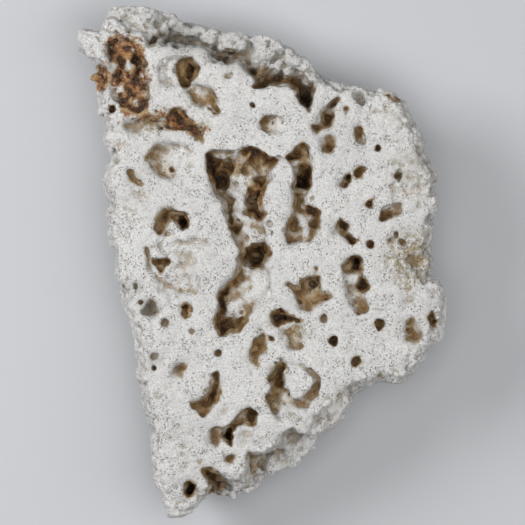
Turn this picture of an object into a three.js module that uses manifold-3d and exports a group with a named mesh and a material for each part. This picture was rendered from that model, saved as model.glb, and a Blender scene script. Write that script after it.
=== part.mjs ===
// A reef base rock: one slab of porous white reef limestone, lying on its back with its holed face up.
// Millimetres, +Z up. The slab's length runs along Y and it rests on a small worn flat at z = 0.
import * as THREE from "three";
import { ImprovedNoise } from "three/addons/math/ImprovedNoise.js";
import { mergeVertices } from "three/addons/utils/BufferGeometryUtils.js";
import Module from "manifold-3d";

// Driving dimensions, in mm.
const LENGTH = 320;
const THICKNESS = 92;

// The lists below place each feature on the face in survey units, x to the right and y down,
// over a survey square that holds the whole face. The slab is SURVEY_LENGTH units long.
const SURVEY_LENGTH = 516;
const SURVEY_CENTRE = [262.5, 262];
const UNIT = LENGTH / SURVEY_LENGTH;

// The body's rings from the holed face down to the resting flat, as [size of the ring against the
// outline, share of the thickness, how far lumps may push it in mm, passes that smooth its corners].
const PROFILE = [
  [0.6, 1, 0.3, 0],
  [0.955, 0.998, 0.5, 0],
  [0.99, 0.96, 0.6, 0],
  [1, 0.84, 0.8, 0],
  [0.99, 0.6, 5, 2],
  [0.93, 0.36, 8, 5],
  [0.8, 0.16, 9, 9],
  [0.6, 0.05, 5, 14],
  [0.38, 0, 0, 18],
];
const FACE_SHARE = 0.9; // rings above this share of the thickness belong to the face
const FACE_SWELL = 1.1; // slow rise and fall of the holed face
const FACE_SWELL_LENGTH = 70;
const LUMP_LENGTH = 44; // spacing of the big lumps on the flanks
const KNOB_LENGTH = 19; // spacing of the knobs on them
const LUMP_LIFT = 0.6; // how far a lump moves up for each mm that it moves out
const CUT_WOBBLE = 0.5; // how far noise bends the walls of a cavity
const CUT_WOBBLE_LENGTH = 9;
const CUT_ABOVE_FACE = 5; // cutters start this far above the face
const DEEP = 16; // a cavity deeper than this has one more ring

// The two ends of the slab are thinner: [y where it starts to thin, y where it ends, share lost].
const THIN_ENDS = [
  [-95, -162, 0.17],
  [110, 166, 0.07],
];

// The slab's outline, seen from above its face.
const OUTLINE = [
  [101, 31], [101, 26], [108, 16], [113, 7], [131, 4], [142, 5], [150, 9], [158, 12],
  [167, 11], [177, 20], [184, 25], [196, 26], [206, 30], [216, 30], [222, 35], [234, 33],
  [242, 33], [250, 37], [262, 36], [270, 39], [277, 38], [285, 41], [292, 48], [297, 57],
  [302, 53], [311, 60], [316, 71], [324, 73], [334, 79], [334, 84], [344, 88], [357, 86],
  [363, 89], [368, 94], [380, 90], [392, 94], [403, 101], [409, 116], [414, 127], [421, 132],
  [424, 141], [422, 151], [429, 163], [437, 176], [431, 187], [437, 202], [435, 212],
  [427, 218], [432, 232], [427, 249], [433, 260], [427, 273], [429, 281], [440, 284],
  [448, 303], [443, 316], [445, 322], [440, 338], [428, 347], [423, 359], [412, 371],
  [404, 380], [395, 381], [384, 376], [366, 384], [350, 387], [351, 401], [342, 415],
  [334, 424], [312, 437], [315, 447], [304, 464], [286, 468], [271, 484], [253, 492],
  [240, 501], [229, 497], [209, 492], [198, 500], [193, 510], [179, 520], [170, 518],
  [165, 500], [154, 478], [155, 430], [149, 412], [147, 396], [139, 381], [143, 362],
  [138, 350], [138, 331], [130, 318], [124, 296], [118, 280], [118, 257], [111, 240],
  [109, 215], [110, 200], [105, 181], [109, 170], [118, 160], [112, 150], [104, 139],
  [109, 127], [108, 119], [98, 111], [101, 96], [99, 85], [92, 79], [101, 64], [96, 56],
  [79, 46], [77, 40], [80, 32], [88, 28], [95, 30],
];

// Places where the rock has broken away along its edge, down to a lower shelf. Each has an area
// that may run past the outline, its depth under the face in mm, the size of its floor against
// its area (taper), and how far its floor is moved from under the area in survey units (lean).
const SHELVES = {
  top_shelf: { depth: 19, taper: 0.98, area: [
    [102, 12], [124, 32], [141, 46], [150, 50], [165, 47], [178, 48], [190, 44], [212, 60],
    [232, 63], [240, 62], [250, 74], [262, 88], [277, 86], [296, 90], [308, 104], [314, 92],
    [318, 82], [340, 84], [345, 60], [200, 5], [120, -10],
  ] },
  top_groove_left: { depth: 32, taper: 0.8, area: [
    [149, 46], [153, 31], [162, 22], [176, 26], [192, 34], [206, 42], [213, 58], [200, 50],
    [190, 45], [178, 49], [165, 48],
  ] },
  top_groove_dimple: { depth: 38, taper: 0.6, lean: [0, 2], area: [
    [217, 48], [224, 43], [235, 46], [242, 58], [230, 65], [219, 61],
  ] },
  top_groove_right: { depth: 40, taper: 0.72, lean: [0, 3], area: [
    [241, 61], [268, 66], [300, 74], [308, 82], [299, 92], [277, 88], [262, 89], [251, 77],
  ] },
  top_notch: { depth: 50, taper: 0.75, lean: [1, 3], area: [
    [297, 91], [304, 82], [315, 84], [314, 102], [309, 110], [301, 103],
  ] },
  low_knob: { depth: 30, taper: 0.95, area: [
    [316, 81], [315, 66], [326, 62], [342, 74], [338, 84],
  ] },
  grey_scoop: { depth: 12, taper: 0.75, lean: [0, 4], area: [
    [352, 84], [360, 79], [369, 96], [364, 108], [353, 95],
  ] },
  lower_shelf: { depth: 25, taper: 0.97, area: [
    [200, 468], [212, 468], [224, 477], [236, 482], [244, 474], [241, 452], [259, 453],
    [270, 449], [280, 445], [287, 432], [312, 434], [330, 440], [320, 480], [270, 510],
    [215, 515], [203, 500],
  ] },
  lower_groove: { depth: 36, taper: 0.7, lean: [-2, -2], area: [
    [247, 451], [258, 455], [272, 450], [281, 446], [287, 438], [290, 449], [272, 463],
    [249, 464],
  ] },
  foot_gap: { depth: 34, taper: 0.9, area: [
    [201, 470], [212, 470], [227, 484], [224, 496], [204, 496], [209, 486],
  ] },
  right_slope: { depth: 7, taper: 0.85, lean: [5, 0], area: [
    [405, 250], [416, 240], [440, 238], [440, 280], [418, 286], [402, 272],
  ] },
  lower_right_slope: { depth: 9, taper: 0.85, lean: [6, 6], area: [
    [327, 402], [344, 384], [366, 386], [366, 404], [340, 440], [310, 446], [305, 428],
  ] },
};

// The cavities in the face, each with the outline of its mouth as its area, and the same values.
const CAVITIES = {
  // The rusty recess in the upper left corner and the groove that leads out of it.
  rust_recess: { depth: 10, taper: 0.85, area: [
    [105, 38], [123, 38], [133, 42], [150, 63], [147, 75], [151, 102], [138, 117], [127, 119],
    [112, 95], [112, 76], [105, 60],
  ] },
  rust_slot: { depth: 20, taper: 0.6, lean: [2, -1], area: [
    [132, 52], [142, 54], [150, 66], [145, 73], [134, 67],
  ] },
  rust_edge: { depth: 16, taper: 0.9, area: [
    [88, 70], [99, 64], [106, 68], [111, 80], [103, 92], [90, 90],
  ] },
  groove: { depth: 15, taper: 0.7, area: [
    [151, 122], [158, 117], [169, 116], [178, 108], [191, 120], [206, 124], [202, 133],
    [204, 143], [197, 140], [191, 131], [175, 129], [157, 130],
  ] },
  groove_deep: { depth: 28, taper: 0.6, lean: [2, 1], area: [
    [171, 113], [178, 109], [186, 113], [196, 130], [191, 134], [176, 127],
  ] },

  // The upper face.
  porthole: { depth: 40, taper: 0.8, lean: [2, 0], area: [
    [181, 57], [188, 56], [197, 63], [198, 75], [190, 87], [185, 89], [178, 76], [177, 65],
  ] },
  fan_hollow: { depth: 15, taper: 0.65, lean: [4, 5], area: [
    [190, 92], [199, 87], [214, 92], [219, 103], [220, 111], [213, 115], [209, 107],
    [203, 109],
  ] },
  dish: { depth: 10, taper: 0.42, lean: [-8, -2], area: [
    [259, 121], [266, 117], [284, 120], [291, 127], [286, 135], [266, 133],
  ] },
  slant_hole: { depth: 22, taper: 0.6, lean: [-1, 3], area: [
    [331, 100], [336, 96], [340, 99], [335, 113], [328, 127], [318, 131], [312, 127],
    [321, 121], [323, 111],
  ] },
  tan_hole: { depth: 21, taper: 0.65, lean: [3, 3], area: [
    [322, 139], [328, 134], [336, 139], [335, 149], [328, 153], [322, 148],
  ] },
  bean_hole: { depth: 12, taper: 0.5, lean: [0, -2], area: [
    [355, 132], [358, 126], [364, 129], [367, 146], [361, 141],
  ] },
  round_bore: { depth: 20, taper: 0.8, area: [
    [375, 148], [378, 143], [383, 146], [381, 152],
  ] },
  twin_left: { depth: 24, taper: 0.5, lean: [3, -3], area: [
    [341, 184], [346, 174], [353, 174], [353, 182], [345, 188],
  ] },
  twin_right: { depth: 17, taper: 0.55, lean: [1, -3], area: [
    [355, 170], [361, 166], [366, 170], [360, 181],
  ] },
  wedge_hole: { depth: 14, taper: 0.5, lean: [-2, 0], area: [
    [365, 202], [369, 197], [376, 197], [372, 208],
  ] },
  dumb_bell: { depth: 16, taper: 0.7, area: [
    [379, 215], [384, 210], [396, 204], [402, 208], [398, 217], [383, 222],
  ] },

  // The left face.
  bowl: { depth: 14, taper: 0.5, lean: [-6, 1], area: [
    [147, 155], [153, 146], [170, 142], [188, 147], [195, 158], [184, 174], [169, 179],
    [153, 169],
  ] },
  leaf_slot: { depth: 14, taper: 0.6, area: [
    [128, 170], [136, 173], [148, 187], [142, 190], [132, 183],
  ] },
  kidney: { depth: 22, taper: 0.75, area: [
    [158, 213], [171, 207], [185, 214], [190, 221], [183, 230], [172, 222], [168, 236],
    [155, 230],
  ] },
  kidney_deep: { depth: 34, taper: 0.75, area: [
    [176, 215], [184, 214], [190, 221], [183, 230], [176, 224],
  ] },
  gull_hole: { depth: 16, taper: 0.45, lean: [0, 2], area: [
    [152, 260], [173, 259], [169, 271], [160, 275],
  ] },
  grey_pit: { depth: 9, taper: 0.6, lean: [1, -1], area: [
    [140, 313], [150, 299], [159, 308], [154, 319],
  ] },
  dark_bore: { depth: 18, taper: 0.75, area: [
    [179, 307], [185, 303], [192, 308], [190, 316], [182, 315],
  ] },
  fish_hole: { depth: 10, taper: 0.5, lean: [3, 1], area: [
    [167, 375], [178, 365], [188, 366], [184, 377],
  ] },
  boomerang: { depth: 17, taper: 0.7, lean: [-1, 1], area: [
    [213, 374], [218, 371], [221, 391], [212, 404], [206, 416], [197, 414], [189, 405],
    [206, 395], [211, 384],
  ] },
  boomerang_deep: { depth: 30, taper: 0.7, area: [
    [205, 397], [214, 381], [218, 391], [211, 405], [204, 403],
  ] },

  // The long trough down the middle and its chambers.
  trough: { depth: 11, taper: 0.8, area: [
    [212, 153], [240, 150], [277, 160], [262, 197], [274, 232], [276, 247], [264, 276],
    [254, 305], [234, 320], [221, 310], [237, 263], [230, 228], [210, 188],
  ] },
  upper_chamber: { depth: 28, taper: 0.78, lean: [-2, 3], area: [
    [207, 155], [222, 150], [247, 147], [262, 149], [279, 158], [272, 170], [253, 171],
    [237, 184], [214, 193],
  ] },
  upper_left_deep: { depth: 42, taper: 0.75, lean: [-1, 1], area: [
    [208, 164], [220, 161], [230, 178], [214, 192],
  ] },
  upper_right_deep: { depth: 36, taper: 0.7, area: [
    [249, 149], [262, 150], [279, 158], [275, 167], [254, 161],
  ] },
  right_channel: { depth: 31, taper: 0.72, lean: [1, 1], area: [
    [256, 181], [270, 177], [262, 197], [267, 213], [262, 222], [246, 209],
  ] },
  left_channel: { depth: 20, taper: 0.6, lean: [1, 2], area: [
    [221, 201], [228, 196], [241, 221], [238, 231], [229, 229],
  ] },
  eye: { depth: 48, taper: 0.8, lean: [0, -1], area: [
    [241, 254], [255, 245], [265, 247], [272, 255], [260, 264], [247, 263],
  ] },
  trough_left_edge: { depth: 24, taper: 0.7, lean: [-2, 0], area: [
    [236, 268], [238, 278], [225, 308], [218, 315], [217, 298],
  ] },
  trough_foot: { depth: 26, taper: 0.72, lean: [0, 1], area: [
    [212, 321], [220, 316], [244, 311], [247, 318], [240, 331], [226, 338], [219, 334],
  ] },

  // The second column of chambers, right of the trough.
  column: { depth: 9, taper: 0.82, area: [
    [290, 157], [304, 143], [312, 148], [315, 180], [313, 206], [321, 212], [320, 230],
    [309, 241], [284, 240], [292, 192], [299, 168],
  ] },
  column_top: { depth: 19, taper: 0.7, area: [
    [284, 156], [301, 141], [313, 147], [311, 158], [298, 163], [289, 160],
  ] },
  column_well: { depth: 48, taper: 0.75, area: [
    [296, 177], [304, 166], [312, 170], [314, 184], [301, 190], [293, 186],
  ] },
  column_right: { depth: 25, taper: 0.7, lean: [2, 0], area: [
    [304, 210], [320, 209], [321, 228], [315, 233],
  ] },
  column_left: { depth: 17, taper: 0.65, lean: [-1, 1], area: [
    [284, 226], [290, 219], [298, 231], [310, 241], [288, 246],
  ] },

  // The right face.
  diagonal: { depth: 14, taper: 0.7, lean: [2, 1], area: [
    [333, 229], [340, 218], [347, 222], [359, 240], [351, 246], [340, 236],
  ] },
  diagonal_slot: { depth: 36, taper: 0.75, lean: [1, 1], area: [
    [339, 220], [346, 222], [358, 239], [352, 245], [343, 233],
  ] },
  amber_pit: { depth: 14, taper: 0.5, area: [
    [408, 255], [416, 251], [424, 258], [416, 268],
  ] },
  long_slot: { depth: 14, taper: 0.72, lean: [2, 0], area: [
    [341, 265], [355, 255], [362, 259], [363, 276], [369, 288], [363, 297], [369, 310],
    [357, 317], [349, 308],
  ] },
  long_slot_top: { depth: 38, taper: 0.75, lean: [1, 0], area: [
    [350, 260], [358, 255], [364, 272], [358, 277],
  ] },
  long_slot_side: { depth: 29, taper: 0.7, lean: [1, 0], area: [
    [359, 280], [369, 286], [362, 297],
  ] },
  cave: { depth: 20, taper: 0.72, area: [
    [283, 283], [301, 280], [320, 277], [322, 289], [334, 297], [316, 311], [299, 309],
    [293, 292],
  ] },
  cave_roof: { depth: 28, taper: 0.75, lean: [0, -2], area: [
    [301, 281], [320, 277], [320, 289], [303, 289],
  ] },
  comma: { depth: 24, taper: 0.72, lean: [2, -1], area: [
    [271, 317], [281, 310], [294, 315], [300, 321], [275, 327],
  ] },
  grainy_hollow: { depth: 8, taper: 0.7, area: [
    [282, 326], [299, 325], [305, 346], [290, 348],
  ] },
  ear: { depth: 12, taper: 0.6, lean: [-1, 3], area: [
    [254, 338], [266, 331], [267, 346], [257, 366], [251, 352],
  ] },
  small_bore: { depth: 15, taper: 0.7, area: [
    [268, 339], [272, 334], [276, 339], [272, 344],
  ] },
  lower_bore: { depth: 12, taper: 0.55, lean: [2, 2], area: [
    [330, 341], [334, 336], [339, 341], [334, 347],
  ] },
  olive_bore: { depth: 18, taper: 0.7, lean: [-1, 1], area: [
    [375, 323], [380, 319], [385, 323], [380, 331],
  ] },
  edge_bore: { depth: 11, taper: 0.7, lean: [-1, 0], area: [
    [352, 360], [357, 355], [363, 361], [357, 368],
  ] },
  eye_pit: { depth: 15, taper: 0.65, lean: [1, 2], area: [
    [427, 316], [432, 311], [437, 320], [434, 328],
  ] },

  // The lower face, with the moat around the pedestal.
  moat: { depth: 12, taper: 0.8, area: [
    [272, 362], [281, 357], [288, 366], [314, 368], [322, 385], [308, 411], [280, 416],
    [266, 397],
  ] },
  moat_left: { depth: 26, taper: 0.7, area: [
    [275, 365], [281, 362], [288, 368], [277, 396], [272, 408], [266, 397], [271, 387],
  ] },
  moat_right: { depth: 19, taper: 0.65, lean: [1, 0], area: [
    [312, 371], [319, 374], [320, 393], [311, 388],
  ] },
  moat_low: { depth: 17, taper: 0.7, area: [
    [293, 397], [312, 391], [307, 411], [297, 408],
  ] },
  saddle_right: { depth: 29, taper: 0.75, lean: [0, -1], area: [
    [240, 411], [258, 407], [259, 415], [253, 425], [239, 422],
  ] },
  saddle_well: { depth: 40, taper: 0.75, area: [
    [225, 429], [238, 418], [243, 421], [234, 433], [230, 446], [223, 438],
  ] },
  saddle_left: { depth: 15, taper: 0.72, area: [
    [209, 435], [213, 427], [227, 427], [225, 438], [216, 448],
  ] },
  shelf_gutter: { depth: 42, taper: 0.6, area: [
    [249, 452], [258, 455], [259, 478], [251, 478],
  ] },
  foot_bore: { depth: 40, taper: 0.85, area: [
    [183, 490], [187, 482], [195, 482], [197, 490], [192, 499], [185, 497],
  ] },
};

// The outline of the top of the pedestal that stands in the moat.
const PEDESTAL_TOP = [
  [285, 377], [287, 370], [294, 368], [303, 371], [309, 377], [312, 382], [306, 390],
  [301, 397], [295, 396], [291, 390], [286, 385],
];
const PEDESTAL_DROP = 1.5; // its top lies this far under the face
const PEDESTAL_FOOT = 1.25; // size of its foot against its top
const PEDESTAL_HEIGHT = 30;

// Borings in the flanks and the back, spread by the golden ratio. Each row of them is
// [how many, first and last place on PROFILE, least and greatest radius in mm].
const BORINGS = [
  [6, 3.6, 4.6, 5, 9],
  [5, 4.8, 5.6, 6, 12],
  [3, 6, 7, 6, 10],
];
const BORING_SET_IN = 0.985; // a boring's centre lies this share of the way out to the surface
const BORING_SHAPE = [1, 0.75, 1.15];
const GOLDEN = (Math.sqrt(5) - 1) / 2;

const noise = new ImprovedNoise();

// A smooth random value from -1 to 1 at a point, for one of several channels.
function wander(point, wavelength, channel) {
  const shift = 31.7 * (channel + 1);
  const { x, y, z } = point;
  return noise.noise(x / wavelength + shift, y / wavelength - shift, z / wavelength + 0.37);
}

// A survey outline in mm, counter-clockwise seen from above.
function outlineOf(list) {
  const [x0, y0] = SURVEY_CENTRE;
  const points = list.map(([x, y]) => new THREE.Vector2((x - x0) * UNIT, (y0 - y) * UNIT));
  return THREE.ShapeUtils.isClockWise(points) ? points.reverse() : points;
}

function middleOf(points) {
  const box = new THREE.Box2().setFromPoints(points);
  return box.getCenter(new THREE.Vector2());
}

// One outline scaled about a centre, moved sideways, and raised to a height.
function ring(outline, centre, size, height, shift = new THREE.Vector2()) {
  return outline.map((p) => {
    const q = p.clone().sub(centre).multiplyScalar(size).add(centre).add(shift);
    return new THREE.Vector3(q.x, q.y, height);
  });
}

// A closed solid through rings of equal count, given from the top down, with flat ends.
function loft(rings) {
  const count = rings[0].length;
  const flat = rings[0].map((p) => new THREE.Vector2(p.x, p.y));
  const cap = THREE.ShapeUtils.triangulateShape(flat, []);
  const last = (rings.length - 1) * count;
  const index = [];
  for (const [a, b, c] of cap) {
    index.push(a, b, c);
    index.push(last + a, last + c, last + b);
  }
  for (let upper = 0; upper < last; upper += count) {
    const lower = upper + count;
    for (let i = 0; i < count; i++) {
      const j = (i + 1) % count;
      index.push(upper + i, lower + i, upper + j);
      index.push(upper + j, lower + i, lower + j);
    }
  }
  const geometry = new THREE.BufferGeometry().setFromPoints(rings.flat());
  geometry.setIndex(index);
  return geometry;
}

// An outline with its corners rounded, each pass moving a point halfway to its neighbours' middle.
function smoothed(outline, passes) {
  let points = outline;
  for (let pass = 0; pass < passes; pass++) {
    points = points.map((p, i) => {
      const middle = points.at(i - 1).clone().add(points[(i + 1) % points.length]).multiplyScalar(0.5);
      return middle.lerp(p, 0.5);
    });
  }
  return points;
}

// The slab before anything is cut from it.
function bodyGeometry(outline, centre) {
  const rings = PROFILE.map(([size, share, push, passes]) =>
    ring(smoothed(outline, passes), centre, size, share * THICKNESS).map((p) => {
      const lump = push * (wander(p, LUMP_LENGTH, 0) + 0.5 * wander(p, KNOB_LENGTH, 4));
      const out = new THREE.Vector2(p.x, p.y).sub(centre).normalize().multiplyScalar(lump);
      const onFace = share > FACE_SHARE;
      const lift = onFace ? FACE_SWELL * wander(p, FACE_SWELL_LENGTH, 1) : LUMP_LIFT * Math.abs(lump);
      return p.add(new THREE.Vector3(out.x, out.y, lift));
    }),
  );
  return loft(rings);
}

// A cutter that opens above the face, narrows to a rounded floor and may lean to one side.
function cutterGeometry(area, depth, taper, lean = [0, 0]) {
  const outline = outlineOf(area);
  const centre = middleOf(outline);
  const shift = new THREE.Vector2(lean[0], -lean[1]).multiplyScalar(UNIT);
  const step = (size, share) =>
    ring(outline, centre, size, THICKNESS - share * depth, shift.clone().multiplyScalar(share));
  const top = ring(outline, centre, 1.03, THICKNESS + CUT_ABOVE_FACE);
  const steepWalls = [step(0.97, 0.3), step((1 + 2 * taper) / 3, 0.78)];
  const shallowWalls = [step((2 + taper) / 3, 0.6)];
  const rings = [...(depth > DEEP ? steepWalls : shallowWalls), step(0.6 * taper, 1)];
  for (const p of rings.flat()) {
    p.x += CUT_WOBBLE * wander(p, CUT_WOBBLE_LENGTH, 2);
    p.y += CUT_WOBBLE * wander(p, CUT_WOBBLE_LENGTH, 3);
  }
  return loft([top, ...rings]);
}

// The pedestal, a short column with a wider foot.
function pedestalGeometry() {
  const outline = outlineOf(PEDESTAL_TOP);
  const centre = middleOf(outline);
  const top = THICKNESS - PEDESTAL_DROP;
  return loft([
    ring(outline, centre, 0.88, top),
    ring(outline, centre, 1, top - 2),
    ring(outline, centre, 0.92, top - PEDESTAL_HEIGHT / 3),
    ring(outline, centre, PEDESTAL_FOOT, top - PEDESTAL_HEIGHT),
  ]);
}

// A point on the body's surface: place along the outline from 0 to 1, place down PROFILE.
function onBody(outline, centre, along, down) {
  const above = PROFILE[Math.floor(down)];
  const below = PROFILE[Math.floor(down) + 1];
  const size = THREE.MathUtils.lerp(above[0], below[0], down % 1);
  const share = THREE.MathUtils.lerp(above[1], below[1], down % 1);
  const p = outline[Math.floor(along * outline.length)];
  const q = p.clone().sub(centre).multiplyScalar(BORING_SET_IN * size).add(centre);
  return new THREE.Vector3(q.x, q.y, share * THICKNESS);
}

// The borings, each a lumpy hollow centred on the surface.
function boringGeometries(outline, centre) {
  const made = [];
  for (const [count, first, last, least, most] of BORINGS) {
    for (let i = 0; i < count; i++) {
      const along = ((i + GOLDEN * made.length) / count) % 1;
      const down = THREE.MathUtils.lerp(first, last, (i * GOLDEN) % 1);
      const radius = THREE.MathUtils.lerp(least, most, (3 * i * GOLDEN) % 1);
      const at = onBody(outline, centre, along, down);
      const geometry = new THREE.IcosahedronGeometry(radius, 1);
      geometry.scale(...BORING_SHAPE).rotateZ(i).translate(at.x, at.y, at.z);
      made.push(geometry);
    }
  }
  return made;
}

// Lowers the thin ends of the slab, most at their tips and not at all at the resting flat.
function thinEnds(geometry) {
  const { position } = geometry.attributes;
  for (let i = 0; i < position.count; i++) {
    const y = position.getY(i);
    for (const [start, end, lost] of THIN_ENDS) {
      const along = THREE.MathUtils.clamp((y - start) / (end - start), 0, 1);
      position.setZ(i, position.getZ(i) * (1 - lost * along * along));
    }
  }
  return geometry;
}

const wasm = await Module();
wasm.setup();

// A three.js geometry as a solid that can be joined and cut.
function solidOf(geometry) {
  const bare = geometry.clone();
  bare.deleteAttribute("normal");
  bare.deleteAttribute("uv");
  const merged = mergeVertices(bare, 1e-4);
  return new wasm.Manifold(
    new wasm.Mesh({
      numProp: 3,
      vertProperties: merged.attributes.position.array,
      triVerts: new Uint32Array(merged.index.array),
    }),
  );
}

// A solid back as a three.js geometry.
function geometryOf(solid) {
  const mesh = solid.getMesh();
  const geometry = new THREE.BufferGeometry();
  geometry.setAttribute("position", new THREE.BufferAttribute(mesh.vertProperties, 3));
  geometry.setIndex(new THREE.BufferAttribute(mesh.triVerts, 1));
  return geometry;
}

function rockGeometry() {
  const outline = outlineOf(OUTLINE);
  const centre = middleOf(outline);
  let rock = solidOf(bodyGeometry(outline, centre));
  for (const { area, depth, taper, lean } of [...Object.values(SHELVES), ...Object.values(CAVITIES)]) {
    rock = rock.subtract(solidOf(cutterGeometry(area, depth, taper, lean)));
  }
  for (const boring of boringGeometries(outline, centre)) {
    rock = rock.subtract(solidOf(boring));
  }
  return thinEnds(geometryOf(rock.add(solidOf(pedestalGeometry()))));
}

// Sets the origin under the middle of the rock, at the level of its resting flat.
function centred(geometry) {
  geometry.computeBoundingBox();
  const { min, max } = geometry.boundingBox;
  return geometry.translate(-(min.x + max.x) / 2, -(min.y + max.y) / 2, -min.z);
}

const limestone = new THREE.MeshStandardMaterial({ color: 0xdedcd6, roughness: 0.95, metalness: 0 });
const reefRock = new THREE.Mesh(centred(rockGeometry()), limestone);
reefRock.name = "reef_rock";

const part = new THREE.Group();
part.add(reefRock);
export default part;
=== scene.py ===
# Reef base rock, lying on its back and seen from straight above its holed face.
# The imported solid gives the form. Here it becomes a fine mesh with rounded lumps, pits and grain, and gets
# the look of chalky reef limestone with stained hollows, painted shade in its hollows and creases, and a
# rusty corner.
import math

import bpy
import numpy as np
import openvdb as vdb
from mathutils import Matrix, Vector


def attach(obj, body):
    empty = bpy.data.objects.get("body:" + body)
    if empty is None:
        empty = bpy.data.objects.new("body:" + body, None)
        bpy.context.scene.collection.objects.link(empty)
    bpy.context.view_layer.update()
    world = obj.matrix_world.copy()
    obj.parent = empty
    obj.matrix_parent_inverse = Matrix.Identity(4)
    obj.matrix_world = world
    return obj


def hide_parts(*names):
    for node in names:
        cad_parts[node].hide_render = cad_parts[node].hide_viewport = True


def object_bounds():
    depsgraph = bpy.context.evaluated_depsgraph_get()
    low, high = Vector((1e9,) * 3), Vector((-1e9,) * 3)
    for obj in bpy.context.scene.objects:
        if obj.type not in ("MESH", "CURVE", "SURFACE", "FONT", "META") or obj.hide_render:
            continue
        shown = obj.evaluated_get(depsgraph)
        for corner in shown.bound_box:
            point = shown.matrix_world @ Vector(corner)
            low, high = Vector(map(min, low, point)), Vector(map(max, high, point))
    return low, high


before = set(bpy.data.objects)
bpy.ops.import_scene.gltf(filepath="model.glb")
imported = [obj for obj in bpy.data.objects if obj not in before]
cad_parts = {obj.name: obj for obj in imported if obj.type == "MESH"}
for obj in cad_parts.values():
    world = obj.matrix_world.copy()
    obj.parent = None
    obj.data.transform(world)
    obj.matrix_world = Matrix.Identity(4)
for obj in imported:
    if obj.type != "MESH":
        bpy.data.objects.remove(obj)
cad_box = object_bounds()

NODE = "reef_rock"
SEED = 11
MM = 0.001

# The survey: features are placed by the photograph's pixels, x to the right and y down.
LENGTH = 320.0  # mm, over SURVEY_LENGTH pixels
SURVEY_LENGTH = 516
SURVEY_CENTRE = (262.5, 262.0)
PIXEL = LENGTH / SURVEY_LENGTH
PHOTO_PIXELS = 525

# The working grid, in mm.
VOXEL = 0.85
PAD = 6.0
BAND = 7.0  # distances are held this far from the surface
SURFACE_CELLS = 3  # cells on each side of a surface that it is meshed from
PIECE_QUADS = 98000  # at most, for each of the pieces that the surface is made in


def survey(x, y):
    """A photograph pixel as x and y in mm on the rock."""
    return (x - SURVEY_CENTRE[0]) * PIXEL, (SURVEY_CENTRE[1] - y) * PIXEL


LOW = np.array(cad_box[0]) / MM
HIGH = np.array(cad_box[1]) / MM
FACE = HIGH[2]  # mm, height of the holed face
ORIGIN = LOW - PAD
SHAPE = tuple(int(n) for n in np.ceil((HIGH - LOW + 2 * PAD) / VOXEL))
AXES = [ORIGIN[i] + VOXEL * np.arange(SHAPE[i], dtype=np.float32) for i in range(3)]


# Fields: arrays of signed distance in mm over the grid, negative inside the rock.


def field_around(points, **faces):
    """The signed distance to a closed mesh, with its points in grid cells."""
    grid = vdb.FloatGrid.createLevelSetFromPolygons(
        points, transform=vdb.createLinearTransform(1.0), halfWidth=BAND / VOXEL, **faces
    )
    field = np.empty(SHAPE, np.float32)
    grid.copyToArray(field)
    return field * VOXEL


def surface_of(field):
    """The surface of a field as points, in grid cells, and quads."""
    near = SURFACE_CELLS * VOXEL
    grid = vdb.FloatGrid(near)
    grid.copyFromArray(np.clip(field, -near, near))
    return grid.convertToQuads(0.0)


def vertex_places(thing):
    """The vertices of a mesh object in mm, one a row."""
    places = np.empty(len(thing.data.vertices) * 3, np.float32)
    thing.data.vertices.foreach_get("co", places)
    return places.reshape(-1, 3) / MM


def triangles_of(thing):
    """The triangles of a mesh object, one a row."""
    mesh = thing.data
    mesh.calc_loop_triangles()
    triangles = np.empty(len(mesh.loop_triangles) * 3, np.int32)
    mesh.loop_triangles.foreach_get("vertices", triangles)
    return triangles.reshape(-1, 3)


def node_field(node):
    """The signed distance to a CAD node."""
    points = (vertex_places(node) - ORIGIN) / VOXEL
    return field_around(points.astype(np.float32), triangles=triangles_of(node).astype(np.uint32))


def blurred(field, sigma):
    """An array smoothed by a Gaussian of sigma cells, one axis after another."""
    reach = max(1, int(math.ceil(3 * sigma)))
    weights = np.exp(-0.5 * (np.arange(-reach, reach + 1) / sigma) ** 2)
    weights /= weights.sum()
    for axis in range(field.ndim):
        margins = [(0, 0)] * field.ndim
        margins[axis] = (reach, reach)
        padded = np.pad(field, margins, mode="edge")
        total = np.zeros_like(field)
        for i, weight in enumerate(weights):
            cut = [slice(None)] * field.ndim
            cut[axis] = slice(i, i + field.shape[axis])
            total += np.float32(weight) * padded[tuple(cut)]
        field = total
    return field


def spline_rows(positions, count):
    """Cubic B-spline weights that spread count lattice values over positions, as a matrix."""
    base = np.floor(positions).astype(int)
    t = positions - base
    parts = [(1 - t) ** 3, 3 * t**3 - 6 * t**2 + 4, -3 * t**3 + 3 * t**2 + 3 * t + 1, t**3]
    rows = np.zeros((len(positions), count), np.float32)
    for i, part in enumerate(parts):
        rows[np.arange(len(positions)), base + i] = part / 6
    return rows


LATTICE_GAIN = 2.2  # makes up for what the spline takes from random lattice values


def noise(wavelength, seed, axes=3):
    """Smooth random values over the grid, about -1 to 1, with features of about a wavelength in mm."""
    rng = np.random.default_rng([SEED, seed])
    spacing = 0.5 * wavelength
    counts = [int(SHAPE[i] * VOXEL / spacing) + 5 for i in range(axes)]
    values = rng.uniform(-1, 1, counts).astype(np.float32) * LATTICE_GAIN
    for axis in range(axes):
        rows = spline_rows(np.arange(SHAPE[axis]) * VOXEL / spacing, counts[axis])
        values = np.moveaxis(np.tensordot(rows, values, axes=(1, axis)), 0, axis)
    return values


LUMP_REACH = 0.8  # a lump ends in a crease at this squared distance, in lump sizes


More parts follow.
